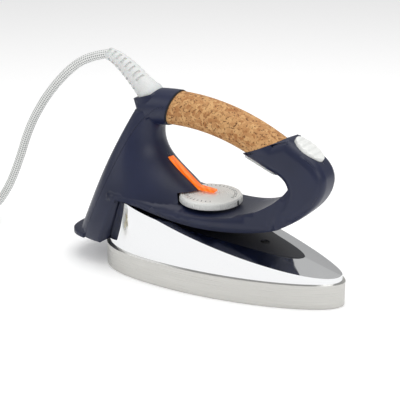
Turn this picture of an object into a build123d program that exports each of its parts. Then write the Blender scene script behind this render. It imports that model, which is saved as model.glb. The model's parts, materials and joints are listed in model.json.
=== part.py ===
"""Dry clothes iron with a cork-sleeved handle, built piece by piece.

Millimetres.  +X points to the nose, +Z up, and the origin is the centre of the sole face.
"""
import os
from math import cos, pi, radians, sin, sqrt, tan

from build123d import *

os.makedirs("parts", exist_ok=True)

# ---------------------------------------------------------------- driving sizes
# soleplate: a cast aluminium tray, pointed at the nose and full at the heel
sole_length = 240.0
sole_width = 102.0
sole_height = 22.0
sole_floor = 9.0            # thickness of the cast bottom
sole_wall = 5.0             # thickness of the rim
sole_widest_back = 31.0     # the widest place is this far behind the middle
heel_fullness = 0.7         # how square the heel is, as a share of the half width
tip_fullness = 0.43         # how blunt the nose is
sole_edge_round = 1.2       # rounding where the sole face meets the rim

# chrome cover over the soleplate
ledge = 2.5                 # the cover stands this far inside the rim
cover_wall = 1.5
cover_draft = 5.0           # degrees, the cover's sides lean in
shoulder_fall = 0.258       # the two sloping shoulders fall this much a millimetre towards the nose
shoulder_lean = 0.194       # and this much a millimetre to each side
deck_height = 49.9          # height of the black deck plate over the origin
deck_slope = 8.9            # degrees, it falls towards the nose
deck_thickness = 2.4
deck_tip = 82.0             # x of the deck plate's rounded tip
deck_back = -84.0
deck_half_width = 38.0      # half width where it goes in under the body
deck_gap = 0.4              # clearance between the deck plate and the cover

# body
body_wall = 2.6
shadow_gap = 2.0            # dark gap between cover and body
column_round = 9.0          # rounding of the column's long edges
arm_front_half = 15.5       # half width of the front column and handle end
heel_reach = 151.0          # how far the rear cover reaches behind the origin, over the heel
foot_reach = 157.0          # tip of the heel foot
skirt_height = sole_height + 2.0
seam = 0.3                  # gap of the moulding seams

# handle: a core tube in a sleeve of cork, on an arc
handle_radius = 204.5       # radius of the arc of the handle's axis
handle_centre = (-47.0, -52.0)   # x and z of that arc's centre
cork_radius = 15.5
core_radius = 11.0
core_bore = 8.0
neck_radius = 16.6
grip_ring_width = 1.4
cork_rear_x = -50.5         # where the sleeve starts, on the axis
cork_rear_slant = 17.8      # degrees
cork_front = (45.0, 134.1)  # a point of the slanted front cut
cork_front_slant = 24.7     # degrees from level
sleeve_gap = 0.1

# temperature dial
dial_x = -14.5
dial_radius = 29.0
dial_height = 7.2
dial_top = 78.3
dial_gap = 1.6              # air round the dial in its slot
shaft_radius = 3.0
shaft_gap = 0.05
thermostat_radius = 11.0
thermostat_height = 9.0

# controls at the front of the handle
button_centre = (82.0, 134.4)   # x and z on the body's skin
button_tilt = 31.9          # degrees, the skin falls forward here
button_length = 30.0
button_width = 19.0
button_proud = 3.4
button_travel = 2.5
button_gap = 0.35
lever_pivot = (27.5, 122.6)     # x and z
lever_length = 31.0
lever_width = 15.0
lever_thickness = 3.6
lever_tilt = 21.5           # degrees below level
lever_travel = 5.0          # degrees
lever_pin_radius = 1.5
pin_gap = 0.05

# pilot light lens, which is also the dial's pointer
lens_width = 5.6
lens_gap = 0.15

# cord
cord_diameter = 8.5
coil_layers = 2
boot_base_radius = 12.6
boot_neck_radius = 9.8
boot_tip_radius = 5.9
collar_radius = 16.0
collar_bore = boot_base_radius + 0.4

# fasteners
screw_radius = 2.0          # M4
screw_head_radius = 3.8
screw_head_height = 2.4
boss_radius = 4.6

# ---------------------------------------------------------------- shared places
sole_top = sole_height
deck_plane = Plane(
    origin=(0, 0, deck_height),
    x_dir=(cos(radians(deck_slope)), 0, -sin(radians(deck_slope))),
    z_dir=(sin(radians(deck_slope)), 0, cos(radians(deck_slope))),
)
# the underside of the body, seen from the side: down behind the heel, up the slanted joint, forward
heel_joint = [(-108.0, skirt_height), (-89.5, 66.5)]
underside = [(-80.0, 67.0), (-46.0, 61.0), (-10.0, 57.0), (20.0, 56.5), (47.0, 58.0), (63.0, 61.5)]
# tower sections: height, front x, back x, half width, half width of the front edge
tower_sections = [
    (skirt_height, -8.0, -heel_reach, 42.0, 14.0),
    (66.0, -12.0, -131.0, 42.5, 14.0),
    (84.0, -31.0, -123.0, 37.5, 12.0),
    (104.0, -57.0, -113.5, 29.5, 11.0),
    (128.0, -67.0, -101.0, 21.5, 11.0),
    (149.0, -68.0, -88.0, 17.5, 11.0),
]
seam_line = [(-40, 155.5), (-60, 154.0), (-80, 137), (-93, 114), (-105, 84), (-122, 46), (-134, 16)]
collar_foot = Vector(-73.0, 0, 143.0)
collar_rim = Vector(-79.0, 0, 161.5)
collar_axis = (collar_rim - collar_foot).normalized()


def shifted(points, distance):
    """A line of points moved sideways, to the left of the way it runs."""
    moved = []
    for place, (x, z) in enumerate(points):
        before = points[max(place - 1, 0)]
        after = points[min(place + 1, len(points) - 1)]
        run = sqrt((after[0] - before[0]) ** 2 + (after[1] - before[1]) ** 2)
        moved.append((x - distance * (after[1] - before[1]) / run, z + distance * (after[0] - before[0]) / run))
    return moved


def handle_point(x, radius=handle_radius):
    """A point on the handle's arc, or on an arc beside it, at x."""
    return (x, handle_centre[1] + sqrt(radius**2 - (x - handle_centre[0]) ** 2))


def handle_sweep(start_x, end_x, radius):
    """A round bar along the handle's arc, from start_x to end_x."""
    with BuildPart() as bar:
        with BuildLine(Plane.XZ) as path:
            ThreePointArc(
                handle_point(start_x), handle_point((start_x + end_x) / 2), handle_point(end_x)
            )
        with BuildSketch(Plane(origin=path.line @ 0, z_dir=path.line % 0)):
            Circle(radius)
        sweep(path=path.line)
    return bar.part


def half_space(x, z, angle, reach=260):
    """A big block whose near face passes through (x, z); angle turns its inward normal from +X to +Z."""
    normal = (cos(radians(angle)), 0, sin(radians(angle)))
    with BuildPart() as block:
        with BuildSketch(Plane(origin=(x, 0, z), z_dir=normal)):
            Rectangle(2 * reach, 2 * reach)
        extrude(amount=reach)
    return block.part


def sole_outline(plane, inset=0.0):
    """The outline of the soleplate: two curves a side, mirrored; inset draws it that much smaller."""
    half_length = sole_length / 2 - inset
    half_width = sole_width / 2 - inset
    with BuildSketch(plane) as outline:
        with BuildLine():
            Bezier(
                (-half_length, 0),
                (-half_length, heel_fullness * half_width),
                (-half_length + 25, half_width),
                (-sole_widest_back, half_width),
            )
            Bezier(
                (-sole_widest_back, half_width),
                (half_length - 75, half_width),
                (half_length, tip_fullness * half_width),
                (half_length, 0),
            )
            mirror(about=Plane.XZ)
        make_face()
    return outline.sketch


def deck_outline(plane, grow=0.0):
    """The outline of the deck plate: long sides, a round tip and a straight back."""
    tip, half, back = deck_tip + grow, deck_half_width + grow, deck_back - grow
    with BuildSketch(plane) as outline:
        with BuildLine():
            Bezier((tip, 0), (tip, 9), (55, half / 2), (-20, half))
            Line((-20, half), (back, half))
            Line((back, half), (back, 0))
            mirror(about=Plane.XZ)
        make_face()
    return outline.sketch


def tower_solid(inset=0.0):
    """The tall rear of the body, lofted through level sections; inset gives the hollow inside it."""
    with BuildPart() as tower:
        for height, front, back, half, nose in tower_sections:
            is_top = height == tower_sections[-1][0]
            is_foot = height == tower_sections[0][0]
            level = height - inset * is_top + inset * is_foot
            f, b, h, n = front - inset, back + inset, half - inset, nose - 0.5 * inset
            length = f - b
            with BuildSketch(Plane.XY.offset(level)):
                with BuildLine():
                    Bezier((f, 0), (f, n), (f - 0.3 * length, h), (b + 0.38 * length, h))
                    Bezier((b + 0.38 * length, h), (b + 0.1 * length, h), (b, 0.75 * h), (b, 0))
                    mirror(about=Plane.XZ)
                make_face()
        loft()
    return tower.part


def arm_solid(inset=0.0):
    """The arm over the deck: its side view and its plan, crossed."""
    arm_top = [(72.0, 104.0), (55.0, 85.0), (38.0, 76.0), (14.0, 69.5), (-30.0, 69.0)]
    arm_plan = [(60, 17.5), (29, 30.0), (8, 36.0), (-30, 40.0), (-100, 42.0)]
    back = -100.0 + inset
    with BuildPart() as arm:
        with BuildSketch(Plane.XZ):
            with BuildLine():
                low = Spline((back, 69.0 + inset), *shifted(underside, inset))
                Line(low @ 1, (80 - inset, 75 + inset))
                high = Spline(*shifted(arm_top, inset))
                Line((80 - inset, 75 + inset), high @ 0)
                Line(high @ 1, (back, 75.0 - inset))
                Line((back, 75.0 - inset), low @ 0)
            make_face()
        extrude(amount=60, both=True)
        with BuildSketch(Plane.XY):
            with BuildLine():
                side = Spline(*[(max(x, back), half - inset) for x, half in arm_plan])
                nose = 78 - inset
                Bezier((nose, 0), (nose, arm_front_half - inset), (68, 13.0), side @ 0)
                Line(side @ 1, (back, 0))
                mirror(about=Plane.XZ)
            make_face()
        extrude(amount=200, mode=Mode.INTERSECT)
    return arm.part


def column_solid(inset=0.0):
    """The front column and the navy end of the handle above it, as one curved bar."""
    outer_line = [
        (56.0, 59.8), (71.0, 67.7), (85.1, 78.7), (96.0, 90.5), (102.0, 103.0),
        (102.6, 113.5), (97.3, 124.0), (89.7, 130.4), (66.6, 143.8),
    ]
    inner_line = [
        (22.5, 123.8), (32, 120.5), (50, 112.8), (62.5, 107.3), (67.4, 99.0), (64.0, 90.0), (54.0, 83.0),
    ]
    root = (44.0, 74.0)
    with BuildPart() as column:
        with BuildSketch(Plane.XZ):
            with BuildLine():
                outer = Spline(*shifted(outer_line, inset))
                inner = Spline(*shifted(inner_line, inset))
                Line(outer @ 1, inner @ 0)
                Line(inner @ 1, root)
                Line(root, outer @ 0)
            make_face()
        extrude(amount=arm_front_half - inset, both=True)
        if not inset:
            sides = column.faces().filter_by(Axis.Y)
            fillet([edge for face in sides for edge in face.edges()], column_round)
    return column.part


def parting_region(gap=0.0):
    """Everything below the joint between the body and the cover, grown by the shadow gap."""
    (low_x, low_z), (high_x, high_z) = shifted(heel_joint, gap)
    line = shifted(underside, gap)
    with BuildPart() as region:
        with BuildSketch(Plane.XZ):
            with BuildLine():
                Polyline((low_x, -60), (low_x, low_z), (high_x, high_z + gap), line[0])
                high = Spline(*line)
                Polyline(high @ 1, (82, 73 + gap), (130, 73 + gap), (130, -60), (low_x, -60))
            make_face()
        extrude(amount=80, both=True)
    return region.part


def outer_body(inset=0.0):
    """The whole navy body as one solid, or its hollow when inset is the wall."""
    with BuildPart() as collar:
        with BuildSketch(Plane(origin=collar_foot, z_dir=collar_axis)):
            Circle(collar_radius - inset)
        extrude(amount=(collar_rim - collar_foot).length - (collar_bore_depth + inset) * (inset > 0))
    neck = handle_sweep(-82.0, cork_rear_x + 6, neck_radius - inset)
    neck -= half_space(cork_rear_x - grip_ring_width - inset, handle_point(cork_rear_x)[1], -cork_rear_slant)
    bar = handle_sweep(12.0, 62.0, cork_radius - inset)
    whole = tower_solid(inset) + arm_solid(inset) + column_solid(inset) + collar.part + neck
    whole += bar - half_space(cork_front[0], cork_front[1], 90 + cork_front_slant)
    return whole


def seam_region(shift=0.0):
    """Everything behind the curved seam of the rear cover, shifted back by the seam's gap."""
    line = [(x - shift, z) for x, z in seam_line]
    with BuildPart() as region:
        with BuildSketch(Plane.XZ):
            with BuildLine():
                curve = Spline(*line)
                Polyline(curve @ 1, (-190, 16), (-190, 190), (-40, 190), curve @ 0)
            make_face()
        extrude(amount=80, both=True)
    return region.part


def rod(start, end, radius):
    """A round rod between two points."""
    axis = Vector(*end) - Vector(*start)
    with BuildPart() as piece:
        with BuildSketch(Plane(origin=start, z_dir=axis)):
            Circle(radius)
        extrude(amount=axis.length)
    return piece.part


def save(piece, name):
    """Label a finished piece and write it under its own name."""
    piece.label = name
    export_step(piece, f"parts/{name}.step")


collar_bore_depth = 12.0

# ---------------------------------------------------------------- soleplate and heater
element_radius = 3.5
element_height = sole_floor + 1.0
element_path = [(-88, -14), (-64, -31), (0, -32), (84, 0), (0, 32), (-64, 31), (-88, 14)]
post_places = [(-62.0, -20.0), (-62.0, 20.0), (42.0, 0.0)]
post_radius = 5.5

with BuildPart() as soleplate:
    with BuildSketch():
        add(sole_outline(Plane.XY))
    extrude(amount=sole_height)
    fillet(soleplate.edges().group_by(Axis.Z)[0], sole_edge_round)
    with BuildSketch(Plane.XY.offset(sole_floor)):
        add(sole_outline(Plane.XY, sole_wall))
    extrude(amount=sole_height, mode=Mode.SUBTRACT)
    with BuildSketch(Plane.XY.offset(sole_floor)):
        with Locations(*post_places):
            Circle(post_radius + 1.5)
    extrude(amount=4.0)
    with BuildSketch(Plane.XY.offset(sole_floor)):
        with Locations((dial_x, 0)):
            Circle(thermostat_radius + 1.0)
    extrude(amount=3.0)
    with Locations(*[(x, y, sole_floor + 4.0) for x, y in post_places]):
        Hole(radius=screw_radius - 0.3, depth=8.0)

with BuildPart() as heating_element:
    with BuildLine(Plane.XY.offset(element_height)) as hairpin:
        FilletPolyline(*element_path, radius=9.0)
    with BuildSketch(Plane(origin=hairpin.line @ 0, z_dir=hairpin.line % 0)):
        Circle(element_radius)
    sweep()

with BuildPart() as element_terminals:
    for side in (-1, 1):
        end = Vector(-88, 14 * side, element_height)
        out = Vector(-24, -17 * side, 0).normalized()
        add(rod(end, end + out * 9, 1.3))
        with BuildSketch(Plane(origin=end + out * 5, z_dir=(0, 0, 1))):
            Circle(1.2)
        extrude(amount=12)

with BuildPart() as sole_cast:
    add(soleplate.part)
    add(heating_element.part, mode=Mode.SUBTRACT)
    add(element_terminals.part, mode=Mode.SUBTRACT)

save(sole_cast.part, "soleplate")
save(heating_element.part, "heating_element")
save(element_terminals.part, "element_terminals")

# ---------------------------------------------------------------- chrome cover and deck plate
def cover_solid(inset=0.0):
    """The cover's outer form, or its hollow: leaning sides under the joint line and two shoulders."""
    rise = 55.0
    with BuildPart() as form:
        for height in (0.0, rise):
            with BuildSketch(Plane.XY.offset(sole_top + height)):
                add(sole_outline(Plane.XY, ledge + inset + height * tan(radians(cover_draft))))
        loft()
        for side in (-1, 1):
            apex = (deck_tip, 0, deck_at(deck_tip) - inset)
            with BuildSketch(Plane(origin=apex, z_dir=(shoulder_fall, side * shoulder_lean, 1))):
                Rectangle(600, 600)
            extrude(amount=200, mode=Mode.SUBTRACT)
        add(parting_region(), mode=Mode.INTERSECT)
    return form.part


def deck_at(x):
    """Height of the deck plate's face at x."""
    return deck_height - tan(radians(deck_slope)) * x


with BuildPart() as deck_opening:
    with BuildSketch(deck_plane):
        add(deck_outline(Plane.XY, deck_gap))
    extrude(amount=25, both=True)

with BuildPart() as chrome_cover:
    add(cover_solid() - cover_solid(cover_wall))
    add(deck_opening.part, mode=Mode.SUBTRACT)

with BuildPart() as deck_plate:
    with BuildSketch(deck_plane):
        add(deck_outline(Plane.XY))
    extrude(amount=-deck_thickness)
    for x, y in post_places:
        add(rod((x, y, sole_floor + 4.0), (x, y, deck_at(x) - 1.0), post_radius))
    for x, y in post_places:
        add(rod((x, y, 0), (x, y, 90), screw_radius + 0.3), mode=Mode.SUBTRACT)
        head_seat = deck_at(x) - screw_head_height - 0.6
        add(rod((x, y, head_seat), (x, y, 90), screw_head_radius + 0.4), mode=Mode.SUBTRACT)
    add(rod((dial_x, 0, 0), (dial_x, 0, 90), shaft_radius + 1.0), mode=Mode.SUBTRACT)

with BuildPart() as sole_screws:
    for x, y in post_places:
        head_seat = deck_at(x) - screw_head_height - 0.6
        add(rod((x, y, 6.0), (x, y, head_seat), screw_radius - 0.3))
        add(rod((x, y, head_seat), (x, y, head_seat + screw_head_height), screw_head_radius))

save(chrome_cover.part, "chrome_cover")
save(deck_plate.part, "deck_plate")
save(sole_screws.part, "sole_screws")

# ---------------------------------------------------------------- body shell
outer = outer_body()
hollow = outer_body(body_wall)
joint_cut = parting_region(shadow_gap)
floor = (outer & parting_region(shadow_gap + body_wall)) - joint_cut
shell = (outer - joint_cut - hollow) + floor

# seats for the handle core, in the neck and in the navy handle end
front_cut = half_space(cork_front[0], cork_front[1], 90 + cork_front_slant)
rear_face_x = cork_rear_x - grip_ring_width
rear_cut = half_space(rear_face_x, handle_point(cork_rear_x)[1], -cork_rear_slant)
rear_seat = handle_sweep(-68, -46, neck_radius - 1) - rear_cut
front_seat = handle_sweep(24, 38, cork_radius - 1) - front_cut
core_hole = handle_sweep(-80, 50, core_radius + sleeve_gap)
shell = shell + rear_seat + front_seat - core_hole

# slot for the dial, hole for its shaft, slot for the lens
lens_side = [
    (-56.6, 106.2), (-30.2, 85.9), (-26.4, 83.4), (-10.0, 82.2),
    (-9.0, 81.0), (-10.0, 79.9), (-29.0, 79.9), (-33.5, 82.6), (-60.0, 102.8), (-60.2, 105.0),
]
slot_floor = dial_top - dial_height - 1.0
slot_roof = dial_top + 1.3


def lens_solid(grow=0.0):
    """The pilot lens and pointer, or the slot that it goes in."""
    with BuildPart() as piece:
        with BuildSketch(Plane.XZ):
            Polygon(*lens_side, align=None)
            if grow:
                offset(amount=grow, kind=Kind.INTERSECTION)
        extrude(amount=lens_width / 2 + grow, both=True)
    return piece.part


shell -= rod((dial_x, 0, slot_floor), (dial_x, 0, slot_roof), dial_radius + dial_gap)
shell -= rod((dial_x, 0, 50), (dial_x, 0, 80), shaft_radius + 0.6)
shell -= lens_solid(lens_gap)

# thumb button on the falling skin at the front of the handle
button_plane = Plane(
    origin=(button_centre[0], 0, button_centre[1]),
    x_dir=(cos(radians(button_tilt)), 0, -sin(radians(button_tilt))),
    z_dir=(sin(radians(button_tilt)), 0, cos(radians(button_tilt))),
)
flange_top = -6.4           # the button's flange lies this far under the skin
flange_thickness = 1.4
carrier_top = -15.5         # and the plate that carries its switch this far
carrier_thickness = 1.6
plunger_rise = 0.8
stem_end = carrier_top - carrier_thickness + plunger_rise + button_travel + 0.2

with BuildPart() as button_hole:
    with BuildSketch(button_plane):
        Ellipse(button_length / 2 + button_gap, button_width / 2 + button_gap)
    extrude(amount=flange_top + 0.5)
    with BuildSketch(button_plane):
        Ellipse(button_length / 2 + button_gap, button_width / 2 + button_gap)
    extrude(amount=10)
shell -= button_hole.part

with BuildPart() as thumb_button:
    with BuildSketch(button_plane):
        Ellipse(button_length / 2, button_width / 2)
    extrude(amount=button_proud)
    fillet(thumb_button.edges().sort_by(Axis(button_plane.origin, button_plane.z_dir))[-1], 1.6)
    for step in range(4):
        along = -9.0 + step * 6.0
        groove = button_plane.offset(button_proud + 1.4)
        with BuildSketch(Plane(
            origin=groove.from_local_coords((along, -button_width, 0)), x_dir=groove.x_dir, z_dir=groove.y_dir
        )):
            Circle(2.3)
        extrude(amount=2 * button_width, mode=Mode.SUBTRACT)
    with BuildSketch(button_plane):
        Ellipse(button_length / 2, button_width / 2)
    extrude(amount=flange_top)
    with BuildSketch(button_plane.offset(flange_top)):
        Ellipse(button_length / 2 - 3.0, button_width / 2 + 1.0)
    extrude(amount=-flange_thickness)
    with BuildSketch(button_plane.offset(flange_top - flange_thickness)):
        Circle(1.8)
    extrude(amount=stem_end - flange_top + flange_thickness)

# switch carrier, button spring and the two switches inside the column
with BuildPart() as switch_carrier:
    with BuildSketch(button_plane.offset(carrier_top)):
        Rectangle(24, 2 * (arm_front_half - body_wall))
        Circle(1.9 + 0.3, mode=Mode.SUBTRACT)
    extrude(amount=-carrier_thickness)

spring_wire = 0.45
button_spring_radius = 3.4
spring_length = (flange_top - flange_thickness) - carrier_top - 2 * spring_wire - 0.1


def spring_solid(plane, length, radius, turns):
    """A compression spring standing on a plane."""
    with BuildPart() as coil:
        with BuildLine() as path:
            Helix(
                pitch=length / turns, height=length, radius=radius,
                center=plane.origin + plane.z_dir * spring_wire, direction=plane.z_dir,
            )
        with BuildSketch(Plane(origin=path.line @ 0, z_dir=path.line % 0)):
            Circle(spring_wire)
        sweep(path=path.line, is_frenet=True)
    return coil.part


button_spring = spring_solid(button_plane.offset(carrier_top + 0.05), spring_length, button_spring_radius, 5)


def switch_solid(plane):
    """A snap-action switch standing on a plane: its case, its plunger on top and three blades."""
    with BuildPart() as piece:
        with BuildSketch(plane):
            Rectangle(12.8, 5.8)
        extrude(amount=-6.5)
        with BuildSketch(plane):
            Circle(1.2)
        extrude(amount=plunger_rise)
        for along in (-5.0, 0.0, 5.0):
            with BuildSketch(plane.offset(-6.5)):
                with Locations((along, 0)):
                    Rectangle(0.5, 3.2)
            extrude(amount=-3.6)
    return piece.part


button_switch = switch_solid(button_plane.offset(carrier_top - carrier_thickness))

# grip lever under the navy handle end, on its own pin
lever_down = radians(lever_tilt)
lever_plane = Plane(
    origin=(lever_pivot[0], 0, lever_pivot[1]),
    x_dir=(cos(lever_down), 0, -sin(lever_down)),
    z_dir=(-sin(lever_down), 0, -cos(lever_down)),
)
lever_face = 3.4            # the lever's outer face, below the pin's axis
lever_pocket_depth = 3.9    # the pocket reaches this far above the pin's axis
lever_end = lever_length - 2.0

with BuildPart() as lever_pocket:
    with BuildSketch(lever_plane.offset(-lever_pocket_depth)):
        with Locations(((lever_end - 4.2) / 2, 0)):
            Rectangle(lever_end + 4.2 + 1.2, lever_width + 0.8)
    extrude(amount=lever_pocket_depth + 9)

with BuildPart() as lugs:
    for side in (-1, 1):
        with BuildSketch(lever_plane.offset(-6)):
            with Locations((1.0, side * (lever_width / 2 + 0.4 + 1.4))):
                Rectangle(9, 2.8)
        extrude(amount=8.5)
shell += (lugs.part & outer) - front_cut
shell -= lever_pocket.part
lever_pin = rod(
    (lever_pivot[0], -lever_width / 2 - 3.0, lever_pivot[1]),
    (lever_pivot[0], lever_width / 2 + 3.0, lever_pivot[1]),
    lever_pin_radius,
)
shell -= lever_pin

with BuildPart() as grip_lever:
    with BuildSketch(lever_plane.offset(lever_face)):
        with Locations(((lever_end - 3.0) / 2, 0)):
            RectangleRounded(lever_end + 3.0, lever_width, 3.0)
    extrude(amount=-lever_thickness)
    with BuildSketch(Plane(origin=(lever_pivot[0], -lever_width / 2, lever_pivot[1]), z_dir=(0, 1, 0))):
        Circle(3.0)
    extrude(amount=lever_width)
    add(rod(
        (lever_pivot[0], -20, lever_pivot[1]), (lever_pivot[0], 20, lever_pivot[1]), lever_pin_radius + pin_gap
    ), mode=Mode.SUBTRACT)

# the cord's collar is bored to take the foot of the cord boot, and a passage goes on down
collar_seat = collar_rim - collar_axis * collar_bore_depth
shell -= rod(collar_seat, collar_rim + collar_axis * 6, collar_bore)
shell -= rod(collar_seat - collar_axis * 8, collar_rim, cord_diameter / 2 + 1.0)

# screws across the two halves, in bosses that run from side to side
cross_screws = [(-83.0, 95.0, 25.0), (-62.0, 80.0, 30.0), (86.0, 100.0, arm_front_half)]
for x, z, half in cross_screws:
    shell += (rod((x, -half - 9, z), (x, half + 9, z), boss_radius) & outer)
head_depth = 5.0
with BuildPart() as body_screws:
    for x, z, half in cross_screws:
        add(rod((x, -half + 5, z), (x, half - head_depth, z), screw_radius - 0.3))
        add(rod((x, half - head_depth, z), (x, half - head_depth + screw_head_height, z), screw_head_radius))

# ---------------------------------------------------------------- rear cover and the two halves
behind = seam_region()
foot_level = skirt_height - 1.2
with BuildPart() as foot:
    with BuildSketch(Plane.XY.offset(foot_level)):
        with BuildLine():
            Bezier((-foot_reach, 0), (-foot_reach, 26), (-foot_reach + 6, 34), (-132, 38))
            Line((-132, 38), (-132, 0))
            mirror(about=Plane.XZ)
        make_face()
    extrude(amount=4.2)

# two screws enter the rear cover from behind, in wells
rear_screws = [(-136.0, 60.0, 40.0), (-113.5, 108.0, 36.0)]   # x, z on the skin, and the boss's length
rear_tilt = radians(24.0)
forward = Vector(cos(rear_tilt), 0, -sin(rear_tilt))
well_depth = 9.0
screw_short = 8.5           # the screw stops this far short of its boss's end
rear_bosses = []
for x, z, reach in rear_screws:
    skin = Vector(x, 0, z)
    rear_bosses.append((skin, skin + forward * well_depth, skin + forward * reach))
for skin, seat, end in rear_bosses:
    shell += rod(skin - forward * 4, end, boss_radius + 1.4) & outer

with BuildPart() as rear_cover:
    add(shell + (foot.part - joint_cut - half_space(-120, 0, 0)))
    add(behind, mode=Mode.INTERSECT)
    for skin, seat, end in rear_bosses:
        add(rod(skin - forward * 12, seat, screw_head_radius + 0.5), mode=Mode.SUBTRACT)
        add(rod(seat - forward, end, screw_radius + 0.2), mode=Mode.SUBTRACT)

with BuildPart() as cover_screws:
    for skin, seat, end in rear_bosses:
        add(rod(seat - forward * screw_head_height, seat, screw_head_radius))
        add(rod(seat, end - forward * screw_short, screw_radius - 0.3))

for x, z, half in cross_screws:
    shell -= rod((x, half - head_depth, z), (x, 60, z), screw_head_radius + 0.3)
    shell -= rod((x, -half + 5, z), (x, 60, z), screw_radius - 0.3)
body_front = shell - seam_region(-seam)
for skin, seat, end in rear_bosses:
    body_front -= rod(seat, end - forward * screw_short, screw_radius - 0.3)
with BuildPart() as body_left:
    add(body_front)
    split(bisect_by=Plane.XZ, keep=Keep.BOTTOM)
with BuildPart() as body_right:
    add(body_front)
    split(bisect_by=Plane.XZ, keep=Keep.TOP)

save(thumb_button.part, "thumb_button")
save(switch_carrier.part, "switch_carrier")
save(button_spring, "button_spring")
save(button_switch, "button_switch")
save(lever_pin, "lever_pin")
save(grip_lever.part, "grip_lever")
save(lens_solid(), "pointer_lens")
save(body_left.part, "body_left")
save(body_right.part, "body_right")
save(rear_cover.part, "rear_cover")
save(body_screws.part, "body_screws")
save(cover_screws.part, "cover_screws")

# ---------------------------------------------------------------- spacer between deck and body
with BuildPart() as insulating_spacer:
    with BuildSketch(Plane.XY.offset(40)):
        with Locations((-50, 0)):
            RectangleRounded(58, 50, 8)
    extrude(amount=40)
    add(joint_cut, mode=Mode.INTERSECT)
    with BuildSketch(deck_plane):
        Rectangle(400, 200)
    extrude(amount=-80, mode=Mode.SUBTRACT)
    for x, y in post_places[:2]:
        add(rod((x, y, 40), (x, y, 90), screw_head_radius + 0.4), mode=Mode.SUBTRACT)
save(insulating_spacer.part, "insulating_spacer")

# ---------------------------------------------------------------- handle: core, cork sleeve, ring
with BuildPart() as handle_core:
    add(handle_sweep(-61.5, 36, core_radius))
    add(handle_sweep(-80, 60, core_bore), mode=Mode.SUBTRACT)

rear_ring_cut = half_space(cork_rear_x, handle_point(cork_rear_x)[1], -cork_rear_slant)
with BuildPart() as cork_grip:
    add(handle_sweep(-62, 74, cork_radius))
    add(rear_ring_cut, mode=Mode.INTERSECT)
    add(half_space(cork_front[0], cork_front[1] + sleeve_gap, 90 + cork_front_slant), mode=Mode.INTERSECT)
    add(core_hole, mode=Mode.SUBTRACT)
    add(handle_sweep(44, 80, core_radius + sleeve_gap), mode=Mode.SUBTRACT)

with BuildPart() as grip_ring:
    add(handle_sweep(-66, -30, cork_radius + 0.7))
    add(rear_cut, mode=Mode.INTERSECT)
    add(rear_ring_cut, mode=Mode.SUBTRACT)
    add(core_hole, mode=Mode.SUBTRACT)

save(handle_core.part, "handle_core")
save(cork_grip.part, "cork_grip")
save(grip_ring.part, "grip_ring")

# ---------------------------------------------------------------- temperature dial and thermostat
dial_low = dial_top - dial_height
hub_radius = 6.5
with BuildPart() as dial_knob:
    with BuildSketch(Plane.XY.offset(dial_low)):
        with Locations((dial_x, 0)):
            Circle(dial_radius - 1.0)
    extrude(amount=dial_height)
    fillet(dial_knob.edges().group_by(Axis.Z)[-1], 1.2)
    with BuildSketch(Plane.XY.offset(dial_low)):
        with Locations((dial_x, 0)):
            Circle(dial_radius - 3.4)
            Circle(hub_radius, mode=Mode.SUBTRACT)
    extrude(amount=dial_height - 2.2, mode=Mode.SUBTRACT)
    with BuildSketch(Plane.XY.offset(dial_low + 0.8)):
        with Locations((dial_x, 0)):
            with PolarLocations(dial_radius - 1.0, 60):
                Circle(0.9)
    extrude(amount=dial_height - 3.0)
    add(rod((dial_x, 0, 0), (dial_x, 0, dial_low + 4.5), shaft_radius), mode=Mode.SUBTRACT)

thermostat_low = sole_floor + 3.0
with BuildPart() as thermostat_base:
    with BuildSketch(Plane.XY.offset(thermostat_low)):
        with Locations((dial_x, 0)):
            Circle(thermostat_radius)
    extrude(amount=thermostat_height)
    add(rod(
        (dial_x, 0, thermostat_low + thermostat_height - 6), (dial_x, 0, 60), shaft_radius + shaft_gap
    ), mode=Mode.SUBTRACT)

with BuildPart() as bimetal_strip:
    with BuildSketch(Plane.XY.offset(thermostat_low + 2.0)):
        with Locations((dial_x + thermostat_radius + 10, 0)):
            Rectangle(20, 7)
    extrude(amount=0.8)
    with BuildSketch(Plane.XY.offset(sole_floor)):
        with Locations((dial_x + thermostat_radius + 17, 0)):
            Circle(2.6)
    extrude(amount=thermostat_low + 2.0 - sole_floor)

with BuildPart() as dial_shaft:
    add(rod(
        (dial_x, 0, thermostat_low + thermostat_height - 5.5), (dial_x, 0, dial_low + 4.5), shaft_radius
    ))

with BuildPart() as thermal_fuse:
    add(rod((-40, 23, sole_floor + 2.4), (-28, 23, sole_floor + 2.4), 2.4))
    add(rod((-47, 23, sole_floor + 2.4), (-21, 23, sole_floor + 2.4), 0.6))

# a saddle over the fuse, open along its underside
with BuildPart() as fuse_clip:
    with Locations((-34, 23, sole_floor + 3.0)):
        Box(5, 7.5, 6)
    add(rod((-60, 23, sole_floor + 2.4), (0, 23, sole_floor + 2.4), 2.5), mode=Mode.SUBTRACT)

save(dial_knob.part, "dial_knob")
save(dial_shaft.part, "dial_shaft")
save(thermostat_base.part, "thermostat_base")
save(bimetal_strip.part, "bimetal_strip")
save(thermal_fuse.part, "thermal_fuse")
save(fuse_clip.part, "fuse_clip")

# ---------------------------------------------------------------- pilot lamp behind the lens
lamp_start = Vector(-62.5, 0, 98.0)
lamp_axis = Vector(26, 0, -20).normalized()
with BuildPart() as pilot_lamp:
    add(rod(lamp_start, lamp_start + lamp_axis * 13, 2.6))
    with BuildSketch(Plane(origin=lamp_start + lamp_axis * 13, z_dir=lamp_axis)):
        Circle(2.6)
    extrude(amount=2.6, taper=35)
with BuildPart() as lamp_holder:
    add(rod(lamp_start - lamp_axis * 5, lamp_start + lamp_axis * 4, 3.8))
    add(rod(lamp_start, lamp_start + lamp_axis * 20, 2.6), mode=Mode.SUBTRACT)
save(pilot_lamp.part, "pilot_lamp")
save(lamp_holder.part, "lamp_holder")

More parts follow.
